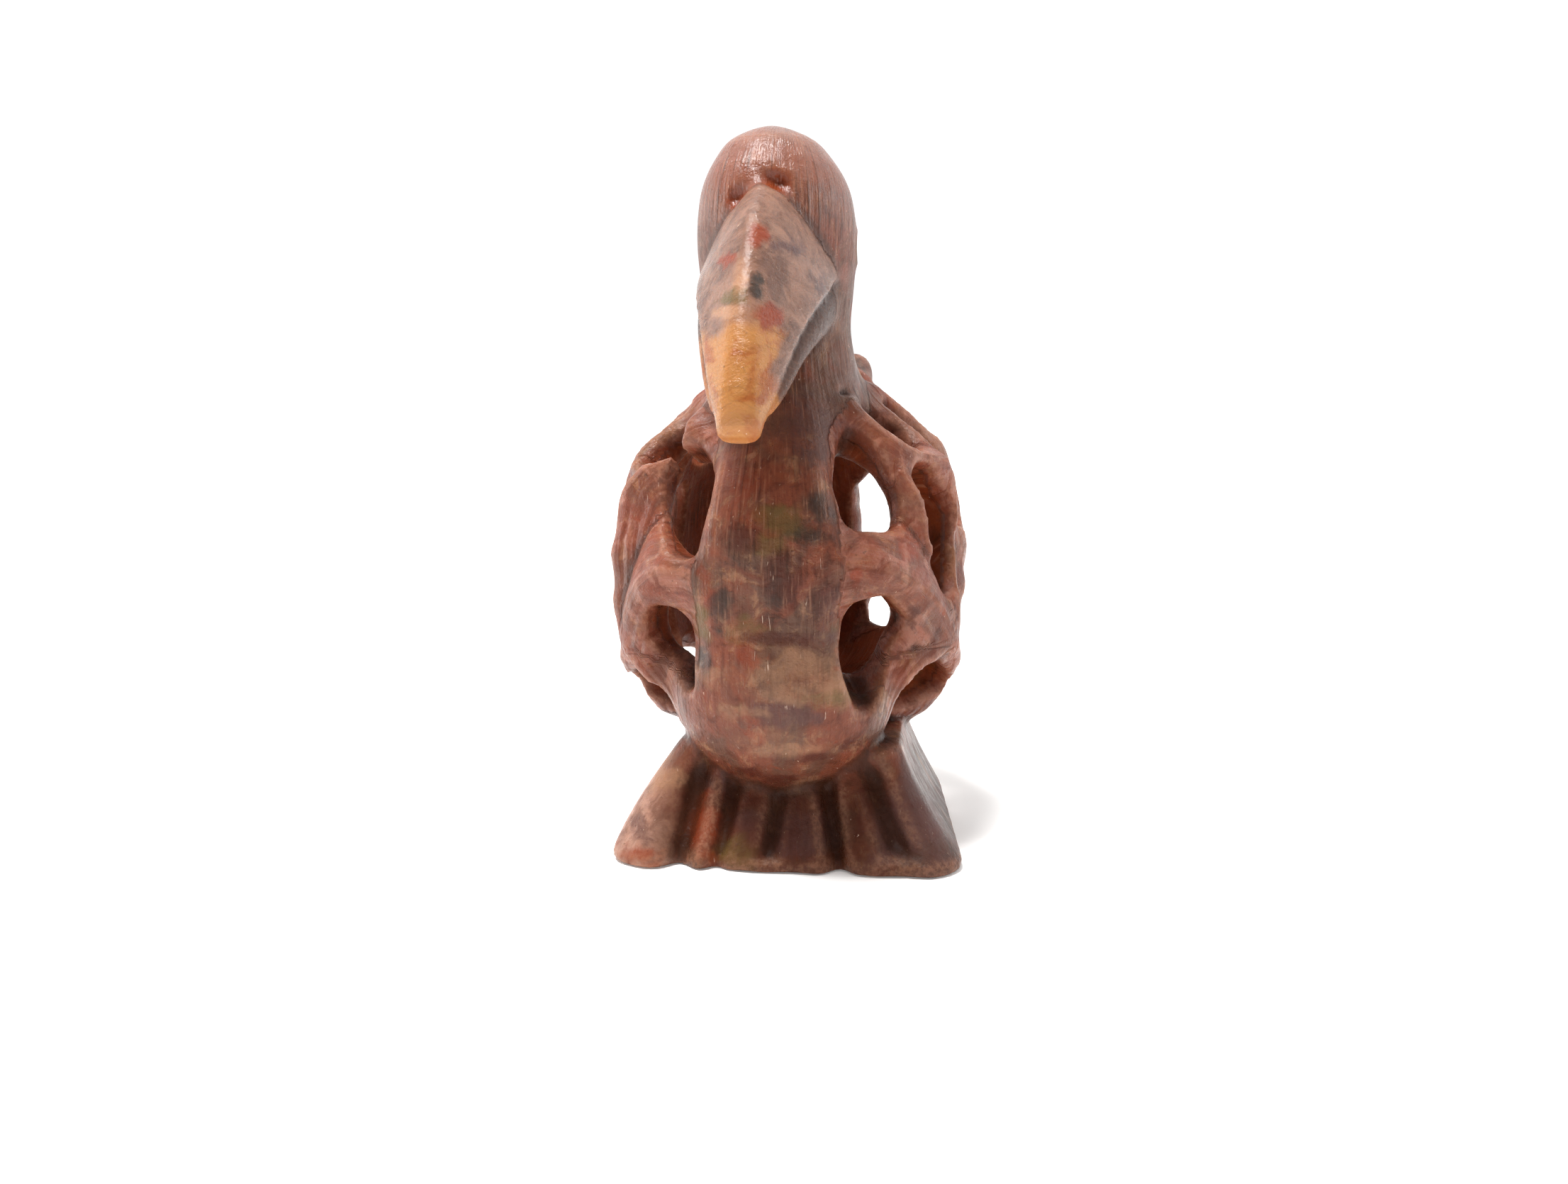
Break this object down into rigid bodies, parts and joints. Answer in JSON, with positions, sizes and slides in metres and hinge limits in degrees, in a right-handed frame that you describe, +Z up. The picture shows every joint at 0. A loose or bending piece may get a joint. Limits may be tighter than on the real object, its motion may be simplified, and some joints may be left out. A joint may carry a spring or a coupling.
{
  "type": "dodo sculpture",
  "caption": "Dodo carved in openwork from one block of mottled soapstone: hollow netted body, domed head with a long drooping beak, tail tuft and a flared foot block.",
  "frame": {"origin": "on the underside of the foot block, below the middle of the breast", "axes": "+Z up through the head, -Y the way the beak points, +X to the right of someone who faces the bird"},
  "size_m": [0.0476, 0.0779, 0.0919],
  "materials": {
    "soapstone": "hand filed and waxed, mottled"
  },
  "bodies": {
    "root": {"dodo_carving": "soapstone"}
  },
  "joints": []
}
